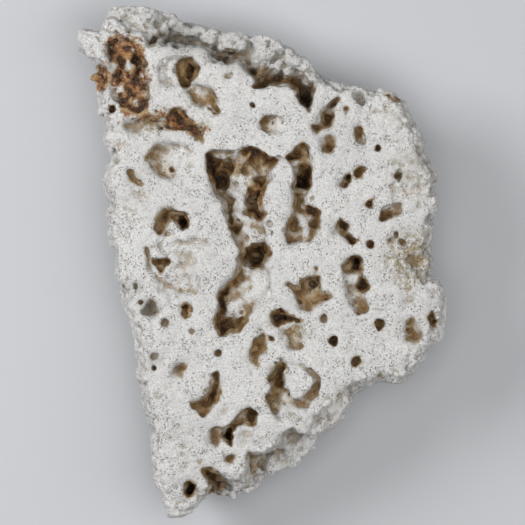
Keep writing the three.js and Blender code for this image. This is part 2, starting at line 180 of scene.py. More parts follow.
def packed_lumps(places, size, seed):
    """Rounded lumps packed side by side: 1 on top of each and 0 in the creases.

    Places are mm from the grid's origin, one a column.
    """
    rng = np.random.default_rng([SEED, seed])
    counts = [int(SHAPE[i] * VOXEL / size) + 4 for i in range(3)]
    tips = rng.random((3, *counts), dtype=np.float32)
    q = places / size + 1
    base = np.floor(q - 0.5).astype(np.int32)
    nearest = np.full(places.shape[1], np.inf, np.float32)
    for corner in range(8):
        cell = [base[i] + ((corner >> i) & 1) for i in range(3)]
        away = sum((q[i] - cell[i] - tips[i][tuple(cell)]) ** 2 for i in range(3))
        nearest = np.minimum(nearest, away)
    return 1 - np.minimum(1, nearest / LUMP_REACH)


INSIDE = 1.001  # keeps a position just under an array's last index, so that it has a next one


def sampled(field, index):
    """Values of an array at fractional positions, given as one row for each of its axes."""
    axes = range(field.ndim)
    top = np.array(field.shape, np.float32)[:, None] - INSIDE
    index = np.clip(index[: field.ndim], 0, top)
    base = index.astype(np.int32)
    part = index - base
    total = 0
    for corner in range(2**field.ndim):
        step = [(corner >> i) & 1 for i in axes]
        weight = math.prod(part[i] if step[i] else 1 - part[i] for i in axes)
        total = total + weight * field[tuple(base[i] + step[i] for i in axes)]
    return total


TRUE_BAND = 0.95  # share of BAND in which the distances are still true


def warped(field, amount, wavelength, seed):
    """A field bent sideways by smooth noise of amount mm."""
    near = np.abs(field) < BAND * TRUE_BAND
    index = np.array(np.nonzero(near), np.float32)
    for axis in range(3):
        index[axis] += (amount / VOXEL) * noise(wavelength, seed + axis)[near]
    bent = field.copy()
    bent[near] = sampled(field, index)
    return bent


def carve(field, centre, radii, width, turn):
    """Carves an ellipsoid out of a field, with a rim rounded over width mm."""
    reach = max(radii) + width + 2 * VOXEL
    cut = []
    for middle, start in zip(centre, ORIGIN):
        first = max(0, int((middle - reach - start) / VOXEL))
        cut.append(slice(first, int((middle + reach - start) / VOXEL) + 2))
    cut = tuple(cut)
    x, y, z = np.meshgrid(*[AXES[i][cut[i]] - centre[i] for i in range(3)], indexing="ij")
    c, s = math.cos(turn), math.sin(turn)
    u, v = c * x + s * y, c * y - s * x
    q = np.sqrt((u / radii[0]) ** 2 + (v / radii[1]) ** 2 + (z / radii[2]) ** 2)
    pit = (q - 1) * min(radii)
    around = -field[cut]
    h = np.clip(0.5 + 0.5 * (pit - around) / width, 0, 1)
    field[cut] = -(pit + (around - pit) * h - width * h * (1 - h))


def surface_points(node, count, rng):
    """Random points spread evenly over a node, in mm, with their normals."""
    points = vertex_places(node)
    triangles = triangles_of(node)
    a, b, c = (points[triangles[:, i]] for i in range(3))
    cross = np.cross(b - a, c - a)
    area = np.linalg.norm(cross, axis=1)
    chosen = rng.choice(len(area), count, p=area / area.sum())
    u, v = rng.random((2, count, 1))
    over = u + v > 1
    u, v = np.where(over, 1 - u, u), np.where(over, 1 - v, v)
    spots = a[chosen] + u * (b - a)[chosen] + v * (c - a)[chosen]
    return spots, cross[chosen] / area[chosen][:, None]


# The hollows of the face, each (outline of its mouth, width of its wall, floor points), in survey pixels.
# A floor point is [x, y, depth, stain], the depth in mm under the face and the darkening in hundredths, from
# white to dark: the real stain of the hollows, with painted shade added on the sides where shade falls,
# such as the left of the bowl and the groove under the face's top edge.
HOLLOWS = {
    "rear_ledge": (
        [[80, -8], [99, 26], [112, 34], [126, 38], [140, 40], [150, 47], [157, 45], [160, 42], [165, 46],
         [178, 48], [190, 43], [195, 43], [200, 48], [210, 58], [216, 62], [228, 63], [238, 62], [245, 70],
         [255, 79], [252, 87], [262, 88], [275, 86], [290, 88], [297, 91], [296, 98], [300, 104], [309, 110],
         [313, 100], [316, 86], [318, 81], [336, 84], [352, 60], [300, 10], [200, -10]], 4,
        [[108, 14, 8, 0], [108, 26, 5, 0], [125, 26, 4, 0], [138, 35, 6, 0], [122, 8, 12, 0],
         [135, 12, 13, 0], [150, 16, 17, 5], [146, 30, 14, 10], [158, 18, 20, 0], [172, 21, 19, 0],
         [190, 29, 19, 0], [205, 33, 18, 0], [225, 39, 17, 0], [240, 39, 18, 0], [262, 42, 16, 0],
         [280, 46, 17, 0], [295, 58, 19, 0], [308, 62, 17, 0], [155, 41, 26, 40], [165, 38, 28, 20],
         [182, 38, 29, 25], [198, 43, 26, 20], [210, 53, 24, 10], [226, 57, 32, 55], [236, 57, 28, 35],
         [247, 63, 26, 30], [258, 74, 30, 50], [275, 81, 34, 60], [292, 83, 36, 65], [303, 92, 42, 80],
         [307, 103, 44, 95], [255, 59, 19, 0], [275, 64, 21, 0], [292, 70, 24, 10], [325, 75, 32, 5],
         [310, 76, 26, 10]]),
    "front_ledge": (
        [[201, 470], [212, 469], [225, 477], [236, 482], [244, 474], [248, 450], [253, 453], [263, 452],
         [272, 447], [281, 441], [283, 435], [292, 428], [300, 433], [312, 434], [340, 440], [325, 485],
         [270, 515], [215, 520], [203, 500], [208, 486]], 4,
        [[290, 452, 21, 0], [303, 450, 20, 0], [308, 440, 18, 0], [276, 470, 24, 0], [255, 484, 26, 0],
         [238, 490, 26, 0], [229, 490, 28, 5], [263, 458, 25, 12], [278, 450, 26, 16], [294, 438, 20, 10],
         [253, 460, 28, 30], [254, 472, 27, 25], [242, 480, 25, 5], [212, 479, 36, 70], [219, 487, 34, 55],
         [207, 478, 36, 80], [213, 488, 34, 60]]),
    "rust_recess": (
        [[105, 37], [120, 39], [129, 40], [139, 52], [150, 63], [145, 72], [150, 90], [149, 105], [138, 115],
         [122, 105], [112, 92], [112, 77], [107, 54], [105, 45]], 5,
        [[112, 45, 12, 40], [121, 43, 5, 20], [129, 46, 11, 40], [117, 55, 9, 30], [127, 56, 4, 10],
         [137, 57, 16, 60], [145, 64, 11, 40], [113, 66, 2, 0], [122, 65, 12, 50], [129, 67, 3, 0],
         [138, 70, 13, 50], [118, 76, 12, 50], [127, 78, 6, 20], [136, 81, 12, 40], [146, 85, 14, 60],
         [121, 88, 5, 10], [130, 90, 12, 40], [140, 94, 6, 20], [123, 98, 10, 30], [133, 102, 4, 0],
         [142, 104, 11, 40], [133, 110, 9, 40], [146, 76, 6, 20]]),
    "rust_edge": (
        [[84, 70], [99, 64], [106, 68], [111, 80], [103, 92], [86, 90]], 5,
        [[96, 78, 7, 30], [105, 80, 7, 30]]),
    "groove": (
        [[151, 122], [158, 117], [169, 116], [172, 110], [179, 108], [186, 112], [191, 120], [198, 125],
         [206, 124], [202, 133], [204, 143], [197, 140], [191, 131], [175, 129], [157, 130]], 4,
        [[160, 123, 7, 10], [176, 118, 10, 70], [182, 120, 14, 80], [190, 127, 10, 80], [197, 134, 8, 70],
         [202, 141, 7, 40], [203, 127, 7, 20]]),
    "groove_start": (
        [[121, 125], [129, 119], [142, 116], [152, 114], [166, 116], [166, 124], [152, 129], [140, 133],
         [128, 132]], 6,
        [[130, 126, 5, 20], [142, 124, 5, 15], [152, 120, 5, 30], [162, 120, 6, 35]]),
    "porthole": (
        [[175, 66], [178, 59], [185, 56], [191, 57], [197, 61], [199, 68], [198, 77], [193, 81], [190, 87],
         [186, 89], [180, 84], [176, 77]], 3,
        [[193, 66, 26, 80], [186, 71, 18, 65], [188, 83, 14, 75], [180, 71, 13, 60], [180, 62, 10, 50]]),
    "porthole_bowl": (
        [[155, 70], [160, 60], [172, 54], [182, 56], [186, 66], [182, 85], [172, 90], [160, 86]], 10,
        [[160, 72, 3, 5], [172, 70, 5, 5], [176, 82, 5, 5]]),
    "fan": (
        [[186, 90], [194, 84], [205, 84], [214, 88], [219, 97], [220, 110], [215, 114], [212, 110],
         [209, 106], [203, 109], [192, 103]], 4,
        [[196, 90, 5, 15], [205, 92, 7, 25], [192, 98, 8, 55], [200, 102, 9, 60], [212, 100, 9, 60],
         [208, 98, 8, 35], [216, 108, 8, 60]]),
    "dish": (
        [[259, 122], [262, 117], [270, 114], [280, 115], [288, 120], [289, 128], [284, 134], [274, 134],
         [264, 131]], 3,
        [[264, 122, 8, 45], [270, 123, 7, 10], [278, 124, 4, 0], [285, 126, 2, 0]]),
    "slant_hole": (
        [[331, 100], [334, 97], [338, 96], [340, 101], [336, 105], [334, 112], [335, 117], [331, 126],
         [320, 130], [318, 133], [312, 127], [320, 124], [322, 112]], 3,
        [[336, 100, 7, 40], [330, 110, 8, 40], [328, 120, 14, 90], [320, 127, 10, 70], [314, 128, 7, 40]]),
    "tan_hole": (
        [[322, 142], [325, 136], [331, 134], [336, 139], [336, 147], [332, 153], [325, 152], [321, 147]], 3,
        [[326, 140, 7, 30], [331, 148, 12, 80], [333, 143, 8, 50]]),
    "bean": (
        [[355, 133], [356, 127], [361, 125], [365, 129], [364, 136], [368, 147], [362, 143], [357, 138]], 3,
        [[360, 130, 8, 60], [364, 142, 7, 20]]),
    "twin_right": (
        [[354, 171], [359, 166], [365, 167], [366, 172], [361, 180], [356, 178]], 3,
        [[359, 172, 8, 50], [362, 169, 7, 30]]),
    "twin_left": (
        [[341, 184], [343, 177], [349, 172], [354, 175], [353, 182], [346, 188]], 3,
        [[350, 177, 12, 80], [345, 183, 7, 40]]),
    "wedge": (
        [[365, 202], [368, 198], [376, 197], [373, 202], [372, 208], [367, 207]], 3,
        [[369, 202, 8, 60]]),
    "dumb_bell": (
        [[379, 217], [381, 211], [390, 208], [399, 204], [402, 209], [399, 216], [389, 219], [381, 222]], 3,
        [[384, 215, 9, 80], [395, 210, 7, 40]]),
    "diagonal": (
        [[333, 227], [340, 219], [348, 224], [350, 232], [359, 240], [352, 246], [347, 239], [338, 234]], 3,
        [[344, 226, 21, 80], [352, 239, 38, 90], [348, 232, 10, 60], [336, 228, 7, 30]]),
    "long_slot": (
        [[341, 264], [346, 259], [355, 255], [361, 256], [364, 270], [362, 276], [371, 284], [371, 289],
         [364, 296], [370, 309], [366, 314], [358, 316], [350, 305], [345, 285], [343, 272]], 3,
        [[356, 263, 38, 85], [349, 265, 8, 40], [345, 279, 4, 5], [355, 279, 6, 20], [364, 286, 21, 85],
         [352, 295, 6, 10], [358, 305, 7, 40], [365, 308, 8, 60], [353, 308, 7, 20]]),
    "cave": (
        [[301, 279], [309, 277], [320, 277], [322, 289], [333, 296], [323, 304], [311, 312], [300, 309],
         [295, 299], [291, 290], [284, 285], [289, 281], [300, 287]], 3,
        [[314, 281, 19, 80], [304, 284, 10, 70], [317, 290, 8, 50], [327, 297, 7, 45], [312, 300, 8, 50],
         [302, 300, 8, 45], [290, 286, 7, 40], [318, 304, 8, 40]]),
    "comma": (
        [[270, 318], [272, 312], [280, 309], [288, 311], [295, 317], [300, 321], [291, 323], [285, 324],
         [279, 327], [271, 325]], 3,
        [[276, 317, 12, 80], [283, 316, 14, 85], [291, 319, 16, 90], [276, 323, 10, 60]]),
    "rough_patch": (
        [[280, 325], [292, 321], [300, 325], [301, 338], [305, 348], [292, 351], [283, 342]], 5,
        [[289, 331, 7, 35], [293, 343, 7, 20], [299, 345, 7, 30], [284, 330, 6, 20]]),
    "ear": (
        [[253, 340], [258, 334], [266, 331], [268, 340], [266, 349], [260, 359], [258, 366], [253, 362],
         [250, 354]], 4,
        [[261, 340, 7, 45], [258, 350, 8, 55], [255, 360, 8, 60]]),
    "moat": (
        [[270, 378], [276, 366], [281, 362], [288, 368], [300, 364], [314, 369], [322, 380], [319, 394],
         [311, 405], [305, 414], [296, 425], [282, 424], [272, 412], [265, 398], [271, 388]], 4,
        [[282, 370, 24, 85], [279, 381, 17, 70], [273, 394, 13, 50], [277, 404, 11, 30], [288, 400, 10, 10],
         [300, 404, 11, 30], [309, 399, 9, 25], [317, 387, 10, 35], [316, 376, 7, 22], [285, 412, 4, 0],
         [296, 414, 4, 5], [288, 421, 1, 0], [302, 415, 2, 0], [300, 367, 8, 20], [290, 366, 12, 30]]),
    "boomerang": (
        [[214, 372], [219, 371], [221, 390], [217, 402], [208, 414], [203, 417], [192, 410], [189, 405],
         [199, 399], [208, 391], [211, 381]], 3,
        [[214, 380, 9, 50], [211, 392, 16, 80], [205, 402, 12, 70], [197, 406, 9, 50], [203, 412, 9, 55],
         [217, 388, 8, 50]]),
    "saddle": (
        [[241, 412], [252, 407], [259, 413], [255, 426], [246, 425], [240, 426], [234, 431], [234, 441],
         [231, 446], [224, 438], [217, 448], [210, 440], [211, 428], [226, 427], [234, 420]], 3,
        [[250, 415, 16, 80], [243, 418, 9, 60], [233, 424, 12, 60], [229, 435, 40, 90], [217, 436, 7, 40],
         [213, 441, 7, 30], [222, 432, 8, 50]]),
    "foot_bore": (
        [[182, 489], [185, 483], [190, 481], [195, 484], [197, 491], [193, 498], [187, 499], [183, 495]], 3,
        [[190, 490, 42, 95]]),
    "dark_bore": (
        [[180, 308], [184, 303], [190, 305], [192, 311], [188, 317], [182, 315]], 3,
        [[187, 311, 8, 80]]),
    "grey_pit": (
        [[140, 312], [144, 304], [150, 299], [157, 303], [160, 310], [154, 319], [146, 318]], 5,
        [[149, 303, 7, 30], [155, 311, 7, 20], [147, 312, 5, 10]]),
    "fish": (
        [[168, 373], [173, 367], [181, 365], [188, 367], [184, 372], [183, 377], [175, 377]], 4,
        [[181, 371, 7, 50], [173, 372, 5, 15]]),
    "gull": (
        [[152, 259], [160, 258], [172, 259], [167, 265], [165, 273], [160, 275], [156, 268]], 3,
        [[160, 263, 10, 75], [161, 270, 9, 65]]),
    "kidney": (
        [[158, 213], [163, 209], [170, 207], [179, 211], [186, 214], [190, 221], [188, 228], [182, 230],
         [177, 225], [172, 222], [168, 227], [167, 237], [159, 234], [154, 229], [156, 220]], 3,
        [[165, 214, 8, 60], [177, 217, 12, 60], [184, 222, 38, 95], [160, 225, 8, 45], [161, 232, 7, 40]]),
    "disc_rim": (
        [[158, 240], [172, 236], [184, 241], [196, 236], [210, 240], [222, 250], [206, 250], [196, 257],
         [191, 268], [196, 280], [206, 287], [192, 291], [176, 286], [164, 278], [172, 264], [160, 254]], 7,
        [[168, 244, 3, 5], [180, 248, 3.5, 7], [198, 244, 2.5, 4], [214, 247, 1.5, 0], [186, 260, 4, 7],
         [176, 272, 3.5, 5], [186, 280, 3, 5], [200, 286, 1.5, 0]]),
    "disc_groove": (
        [[145, 244], [150, 246], [153, 260], [158, 272], [168, 282], [182, 287], [198, 290], [197, 294],
         [178, 293], [161, 286], [151, 275], [146, 262]], 4,
        [[148, 254, 4, 30], [153, 270, 4, 15], [166, 284, 4, 20], [188, 290, 3, 20]]),
    "leaf": (
        [[129, 170], [134, 173], [139, 180], [144, 185], [141, 188], [137, 188], [130, 180]], 3,
        [[133, 177, 7, 60], [140, 186, 7, 30]]),
    "bowl": (
        [[146, 158], [149, 149], [156, 144], [170, 142], [182, 144], [192, 149], [197, 158], [192, 168],
         [184, 175], [171, 180], [160, 177], [151, 170]], 6,
        [[149, 158, 9, 50], [152, 151, 9, 45], [155, 167, 10, 40], [160, 148, 9, 30], [161, 173, 9, 30],
         [157, 159, 11, 20], [166, 154, 9, 3], [166, 165, 9, 3], [173, 147, 7, 3], [176, 157, 6, 0],
         [173, 169, 7, 0], [184, 150, 4, 0], [186, 162, 3, 0], [193, 157, 1, 0], [181, 171, 2, 0]]),
    "trough": (
        [[206, 154], [213, 149], [235, 151], [250, 145], [261, 149], [271, 156], [279, 159], [274, 169],
         [268, 187], [262, 198], [263, 209], [268, 214], [262, 224], [268, 240], [272, 254], [264, 264],
         [270, 274], [271, 290], [257, 306], [247, 321], [240, 331], [228, 333], [220, 337], [213, 320],
         [219, 302], [217, 295], [229, 281], [236, 267], [238, 250], [230, 229], [221, 205], [213, 193],
         [207, 170]], 3,
        [[210, 160, 26, 85], [211, 172, 38, 95], [214, 184, 38, 90], [222, 181, 36, 90], [219, 168, 28, 80],
         [230, 167, 22, 75], [240, 167, 18, 55], [249, 171, 18, 35], [215, 153, 10, 40], [225, 154, 9, 25],
         [235, 154, 9, 25], [240, 160, 13, 40], [247, 152, 14, 70], [256, 154, 20, 95], [265, 156, 19, 90],
         [274, 159, 16, 85], [258, 162, 18, 60], [266, 166, 17, 35], [258, 174, 17, 25], [268, 175, 16, 30],
         [256, 184, 20, 60], [262, 182, 21, 65], [252, 193, 21, 60], [259, 195, 24, 75], [248, 203, 21, 65],
         [257, 205, 26, 85], [251, 211, 22, 85], [262, 213, 24, 90], [234, 179, 15, 30], [242, 181, 12, 10],
         [248, 182, 13, 20], [235, 188, 12, 10], [243, 190, 10, 0], [238, 198, 11, 5], [242, 206, 11, 5],
         [240, 214, 11, 5], [246, 219, 12, 20], [254, 222, 14, 30], [243, 227, 10, 20], [251, 233, 9, 18],
         [222, 192, 18, 30], [228, 200, 20, 30], [229, 210, 21, 30], [233, 220, 22, 50], [231, 190, 16, 25],
         [234, 200, 16, 20], [236, 209, 16, 22], [240, 221, 14, 25], [236, 228, 20, 70], [240, 236, 12, 20],
         [245, 242, 10, 30], [259, 240, 9, 15], [240, 250, 14, 50], [248, 254, 34, 85], [258, 250, 38, 90],
         [266, 254, 30, 85], [256, 261, 36, 85], [238, 262, 14, 35], [247, 270, 9, 15], [258, 274, 5, 3],
         [265, 280, 3, 0], [258, 290, 4, 0], [238, 271, 14, 40], [240, 279, 13, 35], [246, 285, 8, 15],
         [250, 297, 5, 5], [231, 280, 18, 70], [225, 291, 20, 75], [221, 303, 20, 80], [235, 290, 13, 30],
         [230, 298, 11, 25], [242, 289, 9, 15], [236, 305, 5, 0], [230, 309, 7, 5], [240, 312, 8, 15],
         [219, 312, 17, 60], [221, 324, 20, 80], [229, 328, 18, 75], [238, 323, 16, 75], [243, 317, 13, 60],
         [223, 332, 20, 85]]),
    "column": (
        [[284, 158], [290, 153], [295, 147], [302, 142], [311, 147], [313, 157], [312, 165], [313, 176],
         [312, 184], [309, 190], [306, 199], [305, 206], [315, 207], [321, 211], [321, 228], [318, 234],
         [312, 240], [310, 243], [302, 242], [288, 246], [283, 236], [286, 225], [290, 218], [294, 205],
         [293, 196], [293, 187], [294, 178], [292, 168], [289, 161]], 3,
        [[299, 147, 10, 60], [306, 150, 9, 35], [289, 157, 10, 80], [297, 155, 13, 85], [303, 157, 11, 50],
         [309, 160, 9, 20], [296, 163, 8, 15], [294, 170, 8, 20], [303, 168, 20, 70], [304, 179, 50, 95],
         [309, 176, 40, 90], [298, 183, 36, 90], [309, 185, 40, 90], [298, 193, 13, 50], [304, 195, 9, 25],
         [299, 203, 12, 45], [303, 210, 11, 40], [300, 217, 6, 5], [311, 210, 20, 90], [317, 214, 18, 85],
         [318, 225, 16, 65], [314, 232, 9, 35], [309, 219, 8, 20], [303, 223, 5, 3], [308, 232, 4, 5],
         [291, 221, 14, 60], [296, 229, 12, 50], [288, 236, 10, 40], [297, 238, 10, 40], [306, 240, 6, 25]]),
    "olive_patch": (
        [[404, 322], [412, 317], [420, 323], [422, 337], [416, 347], [408, 342]], 5,
        [[408, 326, 6, 45], [410, 335, 6, 40], [417, 328, 3, 15], [417, 340, 5, 30]]),
    "amber_pit": (
        [[406, 256], [413, 250], [422, 252], [427, 260], [421, 268], [412, 269], [407, 263]], 9,
        [[416, 260, 4, 25]]),
    "eye_pit": (
        [[428, 317], [431, 311], [435, 313], [437, 320], [435, 328], [430, 326]], 3,
        [[433, 320, 8, 70]]),
    "olive_bore": (
        [[375, 323], [378, 319], [384, 320], [385, 326], [380, 331], [376, 328]], 3,
        [[379, 325, 8, 80]]),
    "edge_bore": (
        [[352, 360], [355, 356], [361, 357], [363, 363], [358, 368], [353, 366]], 3,
        [[357, 361, 7, 60]]),
    "edge_slit": (
        [[384, 95], [389, 93], [397, 96], [402, 100], [395, 101], [387, 98]], 2,
        [[393, 97, 8, 60]]),
    "scoop": (
        [[352, 84], [360, 76], [369, 96], [364, 109], [353, 95]], 5,
        [[360, 91, 5, 5], [361, 103, 3, 0]]),
}
# The pedestal that stands inside the moat: the outline of its top, the width of its flank in survey pixels,
# and how many mm its top lies under the face.
PEDESTAL = [
    [285, 377], [287, 370], [294, 367], [303, 370], [309, 376], [313, 382], [306, 391], [300, 398],
    [293, 397], [291, 390], [286, 386],
]
PEDESTAL_FLANK = 3
PEDESTAL_DEPTH = 2

# Small round holes, and shallow hollows that fade at their edges, each [x, y, radius, depth in mm].
SMALL_HOLES = [
    [253, 105, 3.6, 9], [112, 109, 4, 10], [385, 137, 2, 5], [347, 109, 3, 5], [398, 175, 4.2, 10],
    [172, 169, 3.8, 22], [191, 332, 3.6, 4], [218, 352, 4.2, 8], [166, 323, 5.5, 5], [378, 148, 4, 20],
    [124, 285, 3.6, 4], [135, 286, 3.6, 4], [371, 245, 4.5, 13], [396, 233, 3, 7], [402, 242, 3, 8],
    [389, 239, 2.4, 5], [316, 268, 2.6, 6], [325, 318, 4.6, 7], [230, 460, 4.5, 9], [200, 463, 3, 3],
    [408, 330, 3.6, 8], [418, 342, 3, 5], [153, 357, 5, 4], [154, 368, 2.5, 16], [380, 377, 4, 6],
    [155, 111, 2.4, 6], [191, 361, 1.8, 3], [334, 341, 5, 15], [271, 338, 3.5, 14], [141, 303, 3, 6],
    [346, 113, 2, 3], [350, 117, 2.4, 4], [354, 120, 2, 3], [385, 135, 2, 4], [388, 139, 2, 3],
    [350, 150, 1.6, 2], [354, 147, 1.6, 2.5], [359, 148, 1.6, 2], [349, 201, 3, 1.5], [316, 273, 2, 4],
    [176, 505, 2, 3], [184, 504, 2, 3], [192, 506, 2, 3], [209, 60, 3, 2], [227, 77, 4, 3], [232, 73, 3, 3],
    [382, 167, 2.5, 1.5], [278, 90, 3, 2],
]
DIPS = [
    [178, 262, 30, 2.4], [224, 388, 14, 3], [224, 410, 12, 3], [246, 434, 13, 7], [172, 160, 30, 1.5],
    [228, 75, 6, 3], [420, 262, 18, 3.5], [408, 300, 11, 3.5], [136, 126, 14, 2.5], [140, 197, 9, 1.8],
    [164, 287, 8, 2.4], [375, 105, 14, 2.2], [346, 330, 26, 1.4], [300, 345, 16, 2], [350, 262, 14, 2],
    [345, 395, 20, 4], [340, 186, 8, 2.5], [334, 233, 7, 3], [349, 290, 10, 4], [397, 206, 8, 2],
    [325, 137, 8, 3], [363, 139, 6, 2], [214, 436, 10, 3], [163, 234, 16, 2], [190, 92, 10, 3],
    [281, 318, 8, 2], [160, 265, 12, 2.5], [262, 330, 9, 2.5], [290, 240, 9, 3], [227, 186, 10, 2],
    [300, 212, 8, 2], [177, 369, 9, 2], [318, 130, 7, 2], [322, 425, 14, 6], [268, 300, 14, 2.5],
    [206, 66, 12, 1.5], [240, 122, 18, 1.2],
]


def inside_distance(x, y, outline):
    """How far each point lies inside an outline of survey pixels, in mm; negative outside."""
    points = [survey(*p) for p in outline]
    nearest = np.full(x.shape, np.inf, np.float32)
    inside = np.zeros(x.shape, bool)
    for (ax, ay), (bx, by) in zip(points, points[1:] + points[:1]):
        ex, ey = bx - ax, by - ay
        t = np.clip(((x - ax) * ex + (y - ay) * ey) / (ex * ex + ey * ey), 0, 1)
        nearest = np.minimum(nearest, np.hypot(x - ax - t * ex, y - ay - t * ey))
        if ay != by:
            inside ^= ((ay > y) != (by > y)) & (x < ax + (y - ay) * ex / ey)
    return np.where(inside, nearest, -nearest)


FLOOR_BLEND = 2.5  # mm squared: how softly one floor point passes into the next


def floor_values(x, y, points):
    """Depth, and stain with painted shade, between floor points, each point weighing less with distance."""
    total = np.zeros(x.shape, np.float32)
    depth = np.zeros(x.shape, np.float32)
    stain_and_shade = np.zeros(x.shape, np.float32)
    for px, py, deep, tint_and_shade in points:
        sx, sy = survey(px, py)
        weight = 1 / (FLOOR_BLEND + (x - sx) ** 2 + (y - sy) ** 2) ** 2
        total += weight
        depth += weight * deep
        stain_and_shade += weight * (tint_and_shade / 100)
    return depth / total, stain_and_shade / total


def rising(t):
    """0 to 1 as a wall rounds into its floor."""
    t = np.clip(t, 0, 1)
    return 1 - (1 - t) ** 2


# Noises, each (wavelength in mm, seed). A bend takes its seed for x and the next one for y.
BENDS = [(8, 61), (3.6, 63)]
WEAR_NOISE = (20, 65)
LOBE_NOISE = (6, 66)

BEND_SIZE = 0.5  # mm that the rims wander
WEAR_MEAN = 0.45  # how worn a rim is: 0 is sharp and 1 is round
WEAR_SWING = 1.1
SHARP_WALL = 0.6  # the width of a wall with a sharp rim, in listed widths, and what wear adds
WORN_WALL = 1.9
SHOULDER_DEPTH = 2.4  # mm that a worn rim drops
SHOULDER_REACH = 2.2  # mm that it reaches out from the hollow
LOBE_START = 8.0  # mm deep, from where on the floors have lobes
LOBE_DEPTH = 0.22  # share of the depth that a lobe takes away or adds
LOBE_STAIN = 0.3
STAIN_START = 0.3  # share of the stain at the top of a wall
STAIN_WALL = 1.2  # the stain is full this far down, in widths of the wall
STAIN_SHOULDER = 0.25
HOLE_STAIN_DEPTH = 16.0  # mm: a small hole this deep would be stained in full
HOLE_STAIN_LIMIT = 0.8
DIP_WIDTH = 0.6  # of a dip's radius


def cut_hollows(x, y):
    """The depth of the hollows over the grid in plan, and their stain with painted shade."""
    wear = np.clip(WEAR_MEAN + WEAR_SWING * noise(*WEAR_NOISE, 2), 0, 1)
    lobes = noise(*LOBE_NOISE, 2)
    depth = np.zeros(x.shape, np.float32)
    stain_and_shade = np.zeros(x.shape, np.float32)
    for outline, wall, points in HOLLOWS.values():
        corners = np.array([survey(*p) for p in outline])
        margin = 3 * SHOULDER_REACH
        low, high = corners.min(axis=0) - margin, corners.max(axis=0) + margin
        near = (x > low[0]) & (x < high[0]) & (y > low[1]) & (y < high[1])
        within = inside_distance(x[near], y[near], outline)
        worn = wear[near]
        slope = wall * PIXEL * (SHARP_WALL + WORN_WALL * worn)
        shoulder = worn * np.exp(np.minimum(within, 0) / SHOULDER_REACH)
        deep, tint_and_shade = floor_values(x[near], y[near], points)
        deep *= 1 + LOBE_DEPTH * lobes[near] * np.clip(deep / LOBE_START - 1, 0, 1)
        tint_and_shade *= 1 - LOBE_STAIN * lobes[near]
        cut = rising(within / slope) * deep + np.minimum(deep, SHOULDER_DEPTH) * shoulder
        down_wall = rising(STAIN_START + within / (STAIN_WALL * slope))
        tinted_and_shaded = np.maximum(down_wall, STAIN_SHOULDER * shoulder) * tint_and_shade
        deeper = cut > depth[near]
        depth[near] = np.where(deeper, cut, depth[near])
        stain_and_shade[near] = np.where(deeper, tinted_and_shaded, stain_and_shade[near])
    return depth, stain_and_shade


def relief():
    """How deep the rock lies under its face, and its stain with painted shade, over the grid in plan."""
    x, y = np.meshgrid(AXES[0], AXES[1], indexing="ij")
    for wavelength, seed in BENDS:
        x = x + BEND_SIZE * noise(wavelength, seed, 2)
        y = y + BEND_SIZE * noise(wavelength, seed + 1, 2)
    depth, stain_and_shade = cut_hollows(x, y)
    up = rising(1 + inside_distance(x, y, PEDESTAL) / (PEDESTAL_FLANK * PIXEL))
    depth = np.where(depth > PEDESTAL_DEPTH, depth + (PEDESTAL_DEPTH - depth) * up, depth)
    stain_and_shade *= 1 - up
    for px, py, radius, deep in SMALL_HOLES:
        sx, sy = survey(px, py)
        away = np.hypot(x - sx, y - sy) / (radius * PIXEL)
        hole = deep * np.clip(1 - away**3, 0, 1)
        # Deeper small holes are darker: partly real stain, partly painted shade.
        stain_and_shade = np.where(hole > depth, np.clip(hole / HOLE_STAIN_DEPTH, 0, HOLE_STAIN_LIMIT), stain_and_shade)
        depth = np.maximum(depth, hole)
    for px, py, radius, deep in DIPS:
        sx, sy = survey(px, py)
        depth += deep * np.exp(-(((x - sx) ** 2 + (y - sy) ** 2) / (DIP_WIDTH * radius * PIXEL) ** 2))
    return depth, stain_and_shade


FACE_DROP = 4.0  # mm under the highest point that still counts as the face
END_DROP = 0.12  # what the face may fall besides, for each mm past END_START, towards either end
END_START = 90.0
FACE_BLUR = 9.0  # mm
LEAST_COVER = 1e-3


def face_height(field):
    """The height of the uncut face over the grid in plan: the CAD face, carried across its hollows."""
    z = AXES[2]
    solid = field < 0
    top = np.where(solid.any(axis=2), z[SHAPE[2] - 1 - np.argmax(solid[:, :, ::-1], axis=2)], 0)
    ends = np.abs(AXES[1])[None, :]
    good = (top > FACE - FACE_DROP - END_DROP * np.clip(ends - END_START, 0, None)).astype(np.float32)
    width = FACE_BLUR / VOXEL
    total = blurred(good, width)
    carried = blurred(top * good, width) / np.maximum(total, LEAST_COVER)
    return np.where(total > LEAST_COVER, carried, FACE - FACE_DROP)


CORE_HEIGHT = 40.0  # mm, a level that no cavity reaches
CORE_MARGIN = 3.0  # mm inside the outline at that level, and FILL_LOW mm up, where the filling starts
FILL_LOW = 22.0
SLOPE_BLUR = 1.0  # cells


def sculpted(field, depth):
    """The CAD field with the top of the rock cut, or filled, to the relief."""
    height = face_height(field) - depth
    slope = np.gradient(blurred(height, SLOPE_BLUR), VOXEL)
    scale = 1 / np.sqrt(1 + slope[0] ** 2 + slope[1] ** 2)
    z = AXES[2][None, None, :]
    above = (z - height[:, :, None]) * scale[:, :, None]
    core = field[:, :, int((CORE_HEIGHT - ORIGIN[2]) / VOXEL)][:, :, None]
    prism = np.maximum(np.maximum(above, core + CORE_MARGIN), FILL_LOW - z)
    return np.maximum(np.minimum(field, prism), above).astype(np.float32)


